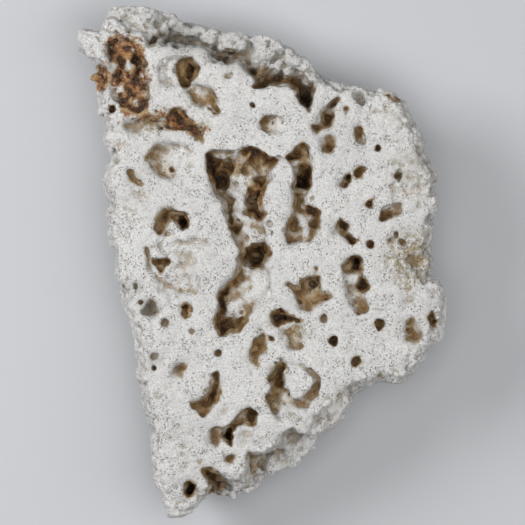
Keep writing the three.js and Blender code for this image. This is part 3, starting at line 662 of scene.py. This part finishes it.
# Where the rock is crumbly besides its edges: [x, y, radius, strength].
ROUGH = [
    [120, 20, 34, 1.2], [170, 25, 26, 0.8], [225, 38, 24, 1.1], [275, 52, 24, 1.1], [180, 262, 30, 1],
    [412, 180, 32, 0.9], [412, 258, 28, 1], [400, 110, 22, 0.5], [370, 110, 18, 0.4], [125, 220, 20, 0.5],
    [140, 345, 22, 0.4], [292, 338, 12, 1], [290, 460, 26, 0.9], [240, 485, 20, 0.8], [130, 85, 26, 1],
    [330, 410, 22, 0.8], [178, 505, 14, 0.7], [185, 450, 26, 0.5], [235, 455, 16, 0.5], [120, 190, 16, 0.5],
    [165, 290, 14, 0.5], [168, 72, 12, 0.5], [410, 335, 14, 0.6], [305, 455, 16, 0.9], [160, 400, 18, 0.4],
    [345, 350, 16, 0.3],
]
EDGE_BLUR = 7.0  # mm
EDGE_COVER = 0.94  # where less than this share of what is around is rock, the edge begins
EDGE_FADE = 0.22
EDGE_SWING = 0.3
EDGE_NOISE = (13, 71)
FLOOR_CRUMBS = 0.55  # how crumbly a stained floor is
FLOOR_STAIN = 0.35
FLOOR_START = 0.7


def patches(places, spots):
    """How much each place lies in soft round spots, each [x, y, radius, strength] in survey pixels."""
    total = np.zeros(len(places), np.float32)
    for x, y, radius, strength in spots:
        px, py = survey(x, y)
        away = np.hypot(places[:, 0] - px, places[:, 1] - py) / (radius * PIXEL)
        total = np.maximum(total, strength * np.exp(-away**4))
    return total


def crumbliness(field, stain_and_shade):
    """How crumbly the rock is over the grid in plan: most along its edges and in the rough places."""
    cover = blurred((field < 0).any(axis=2).astype(np.float32), EDGE_BLUR / VOXEL)
    edge = np.clip((EDGE_COVER - cover) / EDGE_FADE + EDGE_SWING * noise(*EDGE_NOISE, 2), 0, 1)
    x, y = np.meshgrid(AXES[0], AXES[1], indexing="ij")
    places = np.stack([x.ravel(), y.ravel()], axis=1)
    patch = patches(places, ROUGH).reshape(x.shape)
    floors = FLOOR_CRUMBS * np.clip(stain_and_shade / FLOOR_STAIN - FLOOR_START, 0, 1)
    return np.maximum(np.maximum(edge, patch), floors).astype(np.float32)


# Small pits over the whole surface: their radii in mm, each (least, spread), finer on the holed face.
PITS = 2600
FACE_PITS = (0.7, 0.9)
FLANK_PITS = (1.0, 1.8)
FACING = 0.5  # where the surface points up more than this, it is the face
PIT_OUT = 0.2  # mm from the surface to a pit's centre
PIT_RIM = 0.4  # of its radius
PIT_NARROWEST = 0.7
PIT_SEED = 5


def scatter(field, node):
    """Carves the small pits."""
    rng = np.random.default_rng([SEED, PIT_SEED])
    spots, normals = surface_points(node, PITS, rng)
    for spot, normal in zip(spots, normals):
        least, spread = FACE_PITS if normal[2] > FACING else FLANK_PITS
        r = least + spread * rng.random() ** 3
        radii = (r, r * rng.uniform(PIT_NARROWEST, 1), r)
        carve(field, spot + normal * PIT_OUT, radii, PIT_RIM * r, rng.uniform(0, math.pi))


# Rounded lumps, each (size, height, share of the height where the rock is sound, seed), in mm.
LUMPS = [(10, 3.0, 0, 30), (5.2, 2.1, 0.12, 31), (2.7, 1.1, 0.12, 32)]
# The lumps of the face lie under it, and those of the flanks stand out, by these shares of their height.
FACE_TIP = 0.75
FLANK_TIP = 0.3
FLANK_FADE = 8.0  # mm over which the face passes into the flank, from FLANK_START of it under the face
FLANK_START = 0.75
FLANK_CRUMBS = 0.45
SOFTENING = 0.55  # mm
WARP = (0.6, 7, 20)  # mm sideways, wavelength and seed
SKIN = 2.6  # mm on each side of the surface that the lumps and the grain reach
GRAIN = [(0.35, 11, 33), (0.15, 2.9, 34)]  # each (height, wavelength, seed)


def shaped_field(node, depth, stain_and_shade):
    """The rock's signed distance with its relief, lumps, pits and grain."""
    points, quads = surface_of(sculpted(node_field(node), depth))
    field = blurred(field_around(points, quads=quads), SOFTENING / VOXEL)
    field = warped(field, *WARP)
    scatter(field, node)
    near = np.abs(field) < SKIN
    index = np.array(np.nonzero(near), np.float32)
    crumbly = sampled(crumbliness(field, stain_and_shade), index)
    under_face = FACE - ORIGIN[2] - index[2] * VOXEL
    low = np.clip(under_face / FLANK_FADE - FLANK_START, 0, 1)
    crumbly = np.maximum(crumbly, FLANK_CRUMBS * low)
    places = index * VOXEL
    tips = FACE_TIP - FLANK_TIP * low
    change = np.zeros(len(crumbly))
    for size, height, sound, seed in LUMPS:
        change += (sound + crumbly) * height * (tips - packed_lumps(places, size, seed))
    change += sum(height * noise(wavelength, seed)[near] for height, wavelength, seed in GRAIN)
    field[near] += change
    return field


BOX_MARGIN = 0.25  # mm


def boxed(field):
    """A field cut to the CAD model's box, less a margin."""
    for axis in range(3):
        shape = [1, 1, 1]
        shape[axis] = -1
        low = (LOW[axis] + BOX_MARGIN - AXES[axis]).reshape(shape)
        high = (AXES[axis] - HIGH[axis] + BOX_MARGIN).reshape(shape)
        np.maximum(field, low, out=field)
        np.maximum(field, high, out=field)
    return field


def mesh_of(name, points, quads):
    """A mesh of quads."""
    mesh = bpy.data.meshes.new(name)
    mesh.vertices.add(len(points))
    mesh.vertices.foreach_set("co", points.ravel())
    mesh.loops.add(len(quads) * 4)
    mesh.loops.foreach_set("vertex_index", quads.ravel())
    mesh.polygons.add(len(quads))
    mesh.polygons.foreach_set("loop_start", np.arange(len(quads), dtype=np.int32) * 4)
    mesh.update(calc_edges=True)
    return mesh


def largest_surface(points, quads):
    """The largest connected surface, without the loose crumbs and closed bubbles that the pits leave."""
    labels = np.arange(len(points))
    while True:
        corners = labels[quads]
        lowest = corners.min(axis=1)
        if (corners == lowest[:, None]).all():
            break
        np.minimum.at(labels, corners.ravel(), np.repeat(lowest, 4))
        labels = labels[labels]
    surface = labels[quads[:, 0]]
    quads = quads[surface == np.bincount(surface).argmax()]
    used, corners = np.unique(quads, return_inverse=True)
    return points[used], corners.reshape(-1, 4)


def meshed(field):
    """The surface of a field as mesh objects in metres, one for each band along the rock.

    Their normals are those of the whole surface, so the joins between the bands don't show.
    """
    points, quads = surface_of(field)
    points = ((points * VOXEL + ORIGIN) * MM).astype(np.float32)
    points, quads = largest_surface(points, quads[:, ::-1])
    quads = quads.astype(np.int32)
    whole = mesh_of("whole", points, quads)
    normals = np.empty(len(points) * 3, np.float32)
    whole.vertex_normals.foreach_get("vector", normals)
    normals = normals.reshape(-1, 3)
    bpy.data.meshes.remove(whole)
    along = np.argsort(points[quads[:, 0], 1], kind="stable")
    pieces = []
    for band in np.array_split(along, math.ceil(len(quads) / PIECE_QUADS)):
        used, corners = np.unique(quads[band], return_inverse=True)
        name = f"reef_rock_surface_{len(pieces) + 1}"
        mesh = mesh_of(name, points[used], corners.reshape(-1, 4).astype(np.int32))
        mesh.shade_smooth()
        mesh.normals_split_custom_set_from_vertices(normals[used])
        piece = bpy.data.objects.new(name, mesh)
        bpy.context.scene.collection.objects.link(piece)
        pieces.append(piece)
    return pieces


def store(piece, name, values):
    """Keeps one value for each vertex as an attribute that the material reads."""
    attribute = piece.data.attributes.new(name, "FLOAT", "POINT")
    attribute.data.foreach_set("value", np.clip(values, 0, 1).astype(np.float32))


# Patches of colour, each [x, y, radius, strength] in survey pixels. The pale ones lie in the rust, and the
# grey ones are painted shade.
RUST = [
    [124, 54, 22, 1], [130, 80, 21, 1], [132, 103, 15, 1], [98, 78, 13, 1.4], [114, 42, 8, 0.9],
    [177, 120, 12, 1], [192, 129, 8, 0.9], [142, 112, 12, 0.8], [154, 118, 9, 0.55], [164, 113, 7, 0.5],
    [112, 108, 5, 0.9], [257, 198, 11, 0.6], [203, 130, 7, 0.5], [254, 153, 8, 0.4], [160, 127, 5, 0.35],
    [117, 145, 4, 0.4],
]
PALE = [
    [112, 66, 4, 1], [128, 66, 5, 1], [109, 98, 6, 1], [136, 103, 4, 0.9], [122, 77, 3, 0.8],
    [141, 75, 3, 0.7], [120, 89, 4, 0.8], [106, 57, 4, 0.9], [147, 96, 3, 0.7], [132, 49, 3, 0.6],
    [152, 108, 4, 0.6],
]
OLIVE = [
    [410, 258, 28, 1], [409, 285, 9, 0.9], [411, 333, 13, 0.5], [414, 175, 28, 0.45], [396, 108, 16, 0.35],
    [330, 420, 16, 0.3], [345, 395, 12, 0.3], [400, 240, 13, 0.5], [379, 326, 7, 0.9], [357, 362, 8, 0.8],
    [298, 204, 10, 0.7], [271, 400, 9, 0.9], [278, 372, 10, 0.9], [230, 460, 6, 0.8], [421, 245, 12, 0.6],
    [253, 460, 6, 0.7], [255, 471, 7, 0.9], [288, 440, 10, 0.4], [433, 320, 8, 0.6], [299, 333, 14, 0.4],
    [150, 122, 13, 0.85], [163, 120, 10, 0.95], [118, 145, 6, 0.9], [127, 146, 4, 0.7], [205, 126, 7, 0.8],
    [142, 197, 7, 0.7], [188, 72, 12, 0.9], [325, 120, 12, 0.6], [134, 176, 8, 0.5],
]
# Painted shade: grey patches that darken the sloping rear ledge and its groove, the foot's notch and some
# small holes, where shade falls.
PAINTED_SHADE_PATCHES = [
    [182, 36, 22, 0.9], [158, 40, 10, 0.8], [205, 48, 12, 0.7], [228, 57, 11, 0.8], [150, 308, 10, 0.8],
    [125, 285, 7, 0.6], [136, 286, 7, 0.6], [154, 358, 8, 0.6], [250, 68, 12, 0.5], [306, 97, 12, 0.5],
    [105, 60, 8, 0.4], [360, 95, 9, 0.2], [325, 76, 9, 0.5], [225, 488, 14, 0.35], [295, 438, 8, 0.25],
    [150, 18, 12, 0.35], [200, 30, 14, 0.35], [235, 46, 22, 0.32], [280, 55, 22, 0.3], [205, 44, 20, 0.35],
    [120, 12, 14, 0.25], [168, 323, 7, 0.5], [430, 305, 10, 0.2],
]

# How hollow the rock is around a place: the mm around it that count, and the contrast.
HOLLOW = (7.0, 2.6)
NOOK = (1.8, 3.6)

# From where to where, in mm under the face, the colours and painted shade of the hollows, and the crust,
# fade out.
STAIN_AND_SHADE_REACH = (48, 60)
CRUST_REACH = (14, 32)


def hollowness(field, around, contrast):
    """How much rock lies around each place, as a coarse array and its step: over 0.5 in hollows."""
    step = max(1, int(around / VOXEL / 3))
    solid = np.clip(0.5 - field[::step, ::step, ::step] / (2 * VOXEL), 0, 1)
    return 0.5 + contrast * (blurred(solid, around / (VOXEL * step)) - 0.5), step


def fading(under_face, reach):
    """1 near the face and 0 far under it."""
    return np.clip((reach[1] - under_face) / (reach[1] - reach[0]), 0, 1)


def coloured(pieces, field, stain_and_shade):
    """Stores how hollow the rock is at each vertex, its stain with painted shade, and its patches of colour
    and of painted shade.
    """
    around = {"hollow": hollowness(field, *HOLLOW), "nook": hollowness(field, *NOOK)}
    for piece in pieces:
        places = vertex_places(piece)
        index = ((places - ORIGIN) / VOXEL).T
        for name, (values, step) in around.items():
            store(piece, name, sampled(values, index / step))
        under_face = FACE - places[:, 2]
        floors = fading(under_face, STAIN_AND_SHADE_REACH)
        crusted = fading(under_face, CRUST_REACH)
        store(piece, "stain_and_shade", sampled(stain_and_shade, index) * floors)
        store(piece, "rust", (patches(places, RUST) - patches(places, PALE)) * crusted)
        store(piece, "olive", patches(places, OLIVE) * crusted)
        store(piece, "painted_shade", patches(places, PAINTED_SHADE_PATCHES) * floors)


class Nodes:
    """A material's node tree, with short calls that make a node and give its output."""

    def __init__(self, name):
        self.material = bpy.data.materials.new(name)
        self.material.use_nodes = True
        self.tree = self.material.node_tree
        self.shader = self.tree.nodes["Principled BSDF"]

    def node(self, kind, inputs=None, **settings):
        made = self.tree.nodes.new(kind)
        for key, value in settings.items():
            setattr(made, key, value)
        for key, value in (inputs or {}).items():
            self.put(made.inputs[key], value)
        return made

    def put(self, socket, value):
        if isinstance(value, bpy.types.NodeSocket):
            self.tree.links.new(value, socket)
        else:
            socket.default_value = value

    def attribute(self, name):
        return self.node("ShaderNodeAttribute", attribute_name=name).outputs["Fac"]

    def place(self):
        return self.node("ShaderNodeTexCoord").outputs["Object"]

    def noise(self, scale, detail, roughness):
        inputs = {"Vector": self.place(), "Scale": scale, "Detail": detail, "Roughness": roughness}
        return self.node("ShaderNodeTexNoise", inputs).outputs["Fac"]

    def cells(self, scale):
        inputs = {"Vector": self.place(), "Scale": scale}
        return self.node("ShaderNodeTexVoronoi", inputs).outputs["Distance"]

    def maths(self, operation, a, b):
        return self.node("ShaderNodeMath", {0: a, 1: b}, operation=operation).outputs[0]

    def plus(self, a, b):
        return self.maths("ADD", a, b)

    def minus(self, a, b):
        return self.maths("SUBTRACT", a, b)

    def times(self, a, b):
        return self.maths("MULTIPLY", a, b)

    def swing(self, value, amount):
        """A value from 0 to 1 made to swing as much under zero as over it."""
        return self.times(self.minus(value, 0.5), amount)

    def ramp(self, value, low, high, to_low=0.0, to_high=1.0):
        inputs = {"Value": value, "From Min": low, "From Max": high, "To Min": to_low, "To Max": to_high}
        return self.node("ShaderNodeMapRange", inputs, interpolation_type="SMOOTHSTEP").outputs["Result"]

    def mix(self, factor, a, b, blend_type="MIX"):
        made = self.node("ShaderNodeMix", data_type="RGBA", blend_type=blend_type)
        self.put(made.inputs["Factor"], factor)
        self.put(made.inputs["A"], a)
        self.put(made.inputs["B"], b)
        return made.outputs["Result"]

    def bump(self, height, distance, strength, normal=None):
        inputs = {"Height": height, "Distance": distance, "Strength": strength}
        if normal is not None:
            inputs["Normal"] = normal
        return self.node("ShaderNodeBump", inputs).outputs["Normal"]


# Colours of the stone, linear.
CHALK = (0.88, 0.875, 0.86, 1)
CHALK_SHADE = (0.80, 0.795, 0.785, 1)
# A cream for the hollows: partly stain, partly painted shade.
CREAM_STAIN_AND_SHADE = (0.68, 0.62, 0.53, 1)
BEIGE = (0.56, 0.475, 0.37, 1)
TAN = (0.41, 0.26, 0.105, 1)
BROWN = (0.20, 0.093, 0.022, 1)
# The darkest stain of the deepest pockets, with painted shade.
DEEP_STAIN_AND_SHADE = (0.06, 0.022, 0.006, 1)
RUST_LIGHT = (0.38, 0.15, 0.04, 1)
RUST_DARK = (0.07, 0.026, 0.01, 1)
OCHRE = (0.55, 0.38, 0.17, 1)
OLIVE_TONE = (0.32, 0.235, 0.085, 1)
# The grey of the painted shade patches.
PAINTED_SHADE_TONE = (0.27, 0.26, 0.235, 1)
PORE = (0.27, 0.25, 0.22, 1)
# Painted shade for the creases, multiplied in.
PAINTED_CREASE_SHADE = (0.56, 0.48, 0.38, 1)

# Noises in the stone, each (waves in a metre, detail, roughness).
SHADES = (35, 4, 0.55)
BLOTCHES = (75, 4, 0.55)
SPECKLES = (520, 5, 0.75)
OLIVE_GRAINS = (330, 5, 0.7)
RUST_EDGES = (260, 5, 0.75)
RUST_GRAINS = (430, 6, 0.85)
GRAINS = (980, 4, 0.72)
PORE_GROUPS = (150, 3, 0.55)
UNDULATIONS = (330, 4, 0.6)
PORES = 640

# How far the noises swing the stain and the rust, and how far painted shade darkens the rust's creases and
# painted light its lumps.
BLOTCH_SWING = 0.9
SPECKLE_SWING = 1.0
RUST_SWING = 3.0
RUST_CREASE_SHADE = 0.3

# Ramps, each (start, end) and, where they aren't 0 and 1, the values there.
SHADE_RAMP = (0.35, 0.75)
UNEVEN_RAMP = (0.0, 0.35)
CREASE_STAIN_AND_SHADE_RAMP = (0.0, 0.25, 0.0, 0.4)
CREAM_STAIN_AND_SHADE_RAMP = (0.6, 1.1)
PAINTED_SHADE_RAMP = (0.75, 1.2, 0.5, 1.0)
DEEP_STAIN_AND_SHADE_RAMP = (0.85, 1.15)
OLIVE_RAMP = (0.4, 0.6)
CRUST_RAMP = (0.25, 0.75, 0.0, 0.97)
RUST_RAMP = (0.4, 0.54)
OCHRE_RAMP = (0.57, 0.66)
CREASE_SHADE_RAMP = (0.53, 0.9, 0.0, 0.6)
GRAIN_RAMP = (0.34, 0.58, 0.42, 0.0)
PORE_RAMP = (0.16, 0.38, 1.0, 0.0)
PORE_GROUP_RAMP = (0.44, 0.58)
STAIN_AND_SHADE_RAMPS = [(BEIGE, (0.04, 0.32)), (TAN, (0.26, 0.62)), (BROWN, (0.55, 0.92))]

CREAM_STAIN_AND_SHADE_SHARE = 0.6
OLIVE_SHARE = 0.85
PORE_SHARE = 0.38
PORE_SINK = 0.8
GRAIN_HEIGHT = 0.0016
GRAIN_BUMP = 1.0
UNDULATION_BUMP = 0.4
STONE_ROUGHNESS = 0.95
STONE_SPECULAR = 0.1


def stained_and_shaded_colour(n, nook):
    """Chalk with its stain, which gathers unevenly in the hollows, and painted shade in its creases and
    hollows.
    """
    blotch = n.noise(*BLOTCHES)
    own = n.attribute("stain_and_shade")
    uneven = n.plus(n.swing(blotch, BLOTCH_SWING), n.swing(n.noise(*SPECKLES), SPECKLE_SWING))
    uneven = n.times(uneven, n.ramp(own, *UNEVEN_RAMP))
    # Stain deepened in the creases: partly stain, partly painted shade that brings out the lobes.
    crease_stain_and_shade = n.times(n.minus(nook, 0.5), n.ramp(own, *CREASE_STAIN_AND_SHADE_RAMP))
    stain_and_shade = n.plus(n.plus(own, uneven), crease_stain_and_shade)
    colour = n.mix(n.ramp(n.noise(*SHADES), *SHADE_RAMP), CHALK, CHALK_SHADE)
    # Cream in the hollows, by how hollow the rock is around: partly stain, partly painted shade.
    cream_stain_and_shade = n.ramp(n.plus(n.attribute("hollow"), stain_and_shade), *CREAM_STAIN_AND_SHADE_RAMP)
    colour = n.mix(n.times(cream_stain_and_shade, CREAM_STAIN_AND_SHADE_SHARE), colour, CREAM_STAIN_AND_SHADE)
    # Beige, tan and brown by the stain, which carries painted shade on the shaded sides of some hollows.
    for tone, ramp in STAIN_AND_SHADE_RAMPS:
        colour = n.mix(n.ramp(stain_and_shade, *ramp), colour, tone)
    # Painted shade in the grey patches, strongest in the creases and blotches.
    painted_shade = n.times(n.attribute("painted_shade"), n.ramp(n.plus(nook, blotch), *PAINTED_SHADE_RAMP))
    colour = n.mix(painted_shade, colour, PAINTED_SHADE_TONE)
    # Near black in the deepest pockets: partly stain, partly painted shade.
    return n.mix(n.ramp(stain_and_shade, *DEEP_STAIN_AND_SHADE_RAMP), colour, DEEP_STAIN_AND_SHADE)


def crusted_colour(n, nook, colour):
    """A colour with olive patches and rusty crust, the crust with painted shade in creases and painted light
    on lumps.
    """
    olive = n.times(n.attribute("olive"), n.ramp(n.noise(*OLIVE_GRAINS), *OLIVE_RAMP))
    colour = n.mix(n.times(olive, OLIVE_SHARE), colour, OLIVE_TONE)
    ragged = n.swing(n.noise(*RUST_EDGES), RUST_SWING)
    crust = n.ramp(n.plus(n.attribute("rust"), ragged), *CRUST_RAMP)
    # The rust grain, with painted shade in the creases and painted light on the lumps.
    high = n.minus(n.noise(*RUST_GRAINS), n.swing(nook, RUST_CREASE_SHADE))
    rust = n.mix(n.ramp(high, *RUST_RAMP), RUST_DARK, RUST_LIGHT)
    rust = n.mix(n.ramp(high, *OCHRE_RAMP), rust, OCHRE)
    return n.mix(crust, colour, rust)


def stone_material():
    """Chalky limestone with its stains, crust, grain and pores, and painted shade in its creases and
    hollows.
    """
    n = Nodes("reef_limestone")
    nook = n.attribute("nook")
    colour = crusted_colour(n, nook, stained_and_shaded_colour(n, nook))
    # Painted shade: darker in the creases, by how hollow the rock is close around.
    colour = n.mix(n.ramp(nook, *CREASE_SHADE_RAMP), colour, PAINTED_CREASE_SHADE, "MULTIPLY")
    grain = n.noise(*GRAINS)
    colour = n.mix(n.ramp(grain, *GRAIN_RAMP), colour, PORE)
    dots = n.times(n.ramp(n.cells(PORES), *PORE_RAMP), n.ramp(n.noise(*PORE_GROUPS), *PORE_GROUP_RAMP))
    colour = n.mix(n.times(dots, PORE_SHARE), colour, PORE)
    normal = n.bump(n.minus(grain, n.times(dots, PORE_SINK)), GRAIN_HEIGHT, GRAIN_BUMP)
    normal = n.bump(n.noise(*UNDULATIONS), GRAIN_HEIGHT, UNDULATION_BUMP, normal)
    n.put(n.shader.inputs["Base Color"], colour)
    n.put(n.shader.inputs["Normal"], normal)
    n.shader.inputs["Roughness"].default_value = STONE_ROUGHNESS
    n.shader.inputs["Specular IOR Level"].default_value = STONE_SPECULAR
    return n.material


def make_rock():
    """The whole surface, coloured, in pieces that stand for the CAD node."""
    depth, stain_and_shade = relief()
    field = boxed(shaped_field(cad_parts[NODE], depth, stain_and_shade))
    pieces = meshed(field)
    coloured(pieces, field, stain_and_shade)
    material = stone_material()
    for piece in pieces:
        piece.data.materials.append(material)
        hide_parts(NODE)
        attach(piece, "root")


# Camera: straight above the face, as far off as a long lens needs, in metres.
CAMERA_HEIGHT = 4.5
CAMERA_REACH = 20
SENSOR = 36  # mm


def make_camera():
    """A camera that frames what the photograph shows."""
    camera = bpy.data.objects.new("camera", bpy.data.cameras.new("camera"))
    camera.data.sensor_width = SENSOR
    camera.data.lens = SENSOR * CAMERA_HEIGHT / (PHOTO_PIXELS * PIXEL * MM)
    x, y = survey(PHOTO_PIXELS / 2, PHOTO_PIXELS / 2)
    camera.location = (x * MM, y * MM, FACE * MM + CAMERA_HEIGHT)
    camera.data.clip_end = CAMERA_REACH
    bpy.context.scene.collection.objects.link(camera)
    bpy.context.scene.camera = camera


# The studio, in metres: area lights, each (name, place, size, power), and a pale floor.
LIGHTS = [
    ("key", (-0.95, 0.4, 1.15), 0.7, 14),
    ("front", (0.15, -0.1, 2.4), 1.2, 26),
    ("fill", (0.9, -0.2, 1.4), 1.0, 5),
]
LIT_POINT = (0, 0, 0.05)
WORLD_STRENGTH = 0.16
FLOOR_HALF = 3.0
FLOOR_TONE = (0.52, 0.53, 0.55, 1)
FLOOR_ROUGHNESS = 0.9
WHITE = (1, 1, 1, 1)


def area_light(name, place, size, power):
    """A soft square light aimed at the rock."""
    data = bpy.data.lights.new(name, "AREA")
    data.size = size
    data.energy = power
    light = bpy.data.objects.new(name, data)
    light.location = place
    light.rotation_mode = "QUATERNION"
    light.rotation_quaternion = (Vector(LIT_POINT) - Vector(place)).to_track_quat("-Z", "Y")
    bpy.context.scene.collection.objects.link(light)


def make_floor():
    """A plain pale sheet under the rock."""
    corners = [(-1, -1), (1, -1), (1, 1), (-1, 1)]
    mesh = bpy.data.meshes.new("floor")
    mesh.from_pydata([(x * FLOOR_HALF, y * FLOOR_HALF, 0) for x, y in corners], [], [(0, 1, 2, 3)])
    floor = bpy.data.objects.new("floor", mesh)
    bpy.context.scene.collection.objects.link(floor)
    n = Nodes("floor_paper")
    n.shader.inputs["Base Color"].default_value = FLOOR_TONE
    n.shader.inputs["Roughness"].default_value = FLOOR_ROUGHNESS
    mesh.materials.append(n.material)


def make_studio():
    """The floor, the lights and an even glow from all around."""
    make_floor()
    for light in LIGHTS:
        area_light(*light)
    world = bpy.data.worlds.new("studio")
    world.use_nodes = True
    background = world.node_tree.nodes["Background"]
    background.inputs["Color"].default_value = WHITE
    background.inputs["Strength"].default_value = WORLD_STRENGTH
    bpy.context.scene.world = world
    bpy.context.scene.view_settings.view_transform = "Standard"


make_camera()
make_rock()
make_studio()
